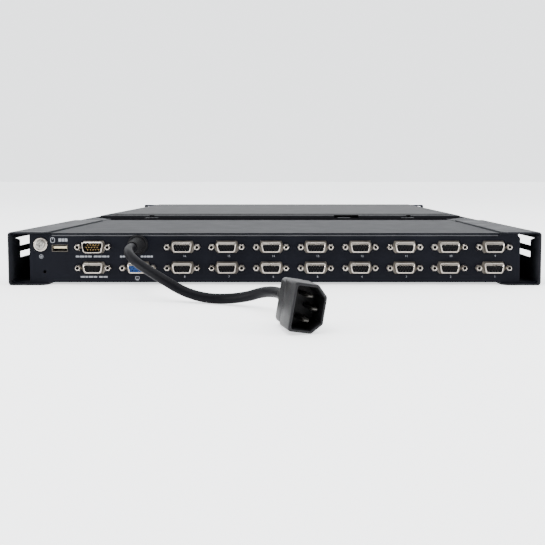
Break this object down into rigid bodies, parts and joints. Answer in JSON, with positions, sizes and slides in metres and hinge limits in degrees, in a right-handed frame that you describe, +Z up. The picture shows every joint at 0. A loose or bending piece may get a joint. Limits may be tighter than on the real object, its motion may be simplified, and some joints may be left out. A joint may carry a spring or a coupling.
{
  "type": "rack console kvm switch",
  "caption": "Slim rack-mount console drawer with a keyboard, a touchpad and a fold-up screen, and a rear switch box with rows of D-shaped ports and a short power cord.",
  "frame": {"origin": "on the surface that the unit stands on, at the middle of the unit's width and length without its cord", "axes": "+Y from the pull handle to the rear ports, +Z up, +X to the left of someone who faces the rear ports"},
  "size_m": [0.4826, 0.8836, 0.0444],
  "materials": {
    "black_sheet": "satin black powder coat",
    "lid_skin": "satin black paint",
    "slide_steel": "zinc plated",
    "plated": "nickel plated",
    "black_plastic": "moulded black",
    "deck_plastic": "textured dark grey",
    "key_plastic": "fine-textured black",
    "console_blue": "moulded blue",
    "cream_plastic": "moulded cream",
    "grey_plastic": "moulded grey",
    "board_green": "solder mask",
    "screen": "dark display face",
    "gold": "gold plated",
    "cord_rubber": "black jacket",
    "ribbon": "flat grey cable"
  },
  "bodies": {
    "frame": {"side_channel_left": "black_sheet", "side_channel_right": "black_sheet", "rear_bracket_left": "black_sheet", "rear_bracket_right": "black_sheet", "front_ear_left": "black_sheet", "front_ear_right": "black_sheet", "bracket_screws": "plated", "slide_outer_left": "slide_steel", "slide_outer_right": "slide_steel", "switch_case_base": "black_sheet", "switch_top_cover": "black_sheet", "rear_panel": "black_sheet", "main_board": "board_green", "board_spacers": "gold", "power_supply_board": "board_green", "port_shells": "plated", "port_inserts": "black_plastic", "console_port_insert": "console_blue", "service_port_shell": "plated", "service_port_pins": "gold", "port_housings": "black_plastic", "jackscrews": "plated", "usb_shell": "plated", "usb_tongue": "cream_plastic", "ground_washer": "plated", "ground_screw": "plated", "cord_gland": "black_plastic", "cord_boot": "black_plastic", "power_cord": "cord_rubber", "plug_body": "black_plastic", "plug_pins": "plated"},
    "drawer": {"drawer_tray": "black_sheet", "slide_inner_left": "slide_steel", "slide_inner_right": "slide_steel", "keyboard_deck": "deck_plastic", "keyboard_board": "board_green", "key_caps": "key_plastic", "touchpad": "grey_plastic", "front_bezel": "black_plastic", "drawer_handle": "black_plastic", "hinge_brackets": "slide_steel", "hinge_pins": "plated", "drawer_ribbon": "ribbon"},
    "lid": {"lid_shell": "lid_skin", "lid_bezel": "black_plastic", "lcd_panel": "screen", "lcd_board": "board_green", "lid_hinge_leaves": "slide_steel"},
    "enter_key": {"enter_key": "key_plastic"},
    "space_bar": {"space_bar": "key_plastic"},
    "touch_left": {"touchpad_button_left": "grey_plastic"},
    "touch_right": {"touchpad_button_right": "grey_plastic"},
    "port_up": {"port_up_button": "grey_plastic"},
    "port_down": {"port_down_button": "grey_plastic"},
    "catch_left": {"release_catch_left": "grey_plastic"},
    "catch_right": {"release_catch_right": "grey_plastic"},
    "menu_key": {"menu_button": "grey_plastic"},
    "screen_power_key": {"screen_power_button": "grey_plastic"},
    "middle_left": {"slide_middle_left": "slide_steel"},
    "middle_right": {"slide_middle_right": "slide_steel"}
  },
  "joints": [
    {"name": "drawer_slide", "type": "slide", "parent": "frame", "child": "drawer", "axis": [0, -1, 0], "range_m": [0, 0.4], "deforming": ["drawer_ribbon"]},
    {"name": "slide_middle_left_slide", "type": "slide", "parent": "frame", "child": "middle_left", "axis": [0, -1, 0], "range_m": [0, 0.2]},
    {"name": "slide_middle_right_slide", "type": "slide", "parent": "frame", "child": "middle_right", "axis": [0, -1, 0], "range_m": [0, 0.2]},
    {"name": "lid_hinge", "type": "hinge", "parent": "drawer", "child": "lid", "pos_m": [0, 0.066, 0.0355], "axis": [-1, 0, 0], "range_deg": [0, 115]},
    {"name": "enter_key_press", "type": "slide", "parent": "drawer", "child": "enter_key", "axis": [0, 0, -1], "range_m": [0, 0.003], "stiffness_N_per_m": 200, "springref_m": -0.002},
    {"name": "space_bar_press", "type": "slide", "parent": "drawer", "child": "space_bar", "axis": [0, 0, -1], "range_m": [0, 0.003], "stiffness_N_per_m": 250, "springref_m": -0.002},
    {"name": "touch_left_press", "type": "slide", "parent": "drawer", "child": "touch_left", "axis": [0, 0, -1], "range_m": [0, 0.0008], "stiffness_N_per_m": 700, "springref_m": -0.001},
    {"name": "touch_right_press", "type": "slide", "parent": "drawer", "child": "touch_right", "axis": [0, 0, -1], "range_m": [0, 0.0008], "stiffness_N_per_m": 700, "springref_m": -0.001},
    {"name": "port_up_press", "type": "slide", "parent": "drawer", "child": "port_up", "axis": [0, 0, -1], "range_m": [0, 0.0015], "stiffness_N_per_m": 500, "springref_m": -0.001},
    {"name": "port_down_press", "type": "slide", "parent": "drawer", "child": "port_down", "axis": [0, 0, -1], "range_m": [0, 0.0015], "stiffness_N_per_m": 500, "springref_m": -0.001},
    {"name": "catch_left_slide", "type": "slide", "parent": "drawer", "child": "catch_left", "axis": [-1, 0, 0], "range_m": [0, 0.0055], "stiffness_N_per_m": 300, "springref_m": -0.002},
    {"name": "catch_right_slide", "type": "slide", "parent": "drawer", "child": "catch_right", "axis": [1, 0, 0], "range_m": [0, 0.0055], "stiffness_N_per_m": 300, "springref_m": -0.002},
    {"name": "menu_press", "type": "slide", "parent": "lid", "child": "menu_key", "axis": [0, 0, 1], "range_m": [0, 0.001], "stiffness_N_per_m": 500, "springref_m": -0.001},
    {"name": "screen_power_press", "type": "slide", "parent": "lid", "child": "screen_power_key", "axis": [0, 0, 1], "range_m": [0, 0.001], "stiffness_N_per_m": 500, "springref_m": -0.001}
  ],
  "couplings": [
    {"joint": "slide_middle_left_slide", "follows": "drawer_slide", "ratio": 0.5},
    {"joint": "slide_middle_right_slide", "follows": "drawer_slide", "ratio": 0.5}
  ]
}
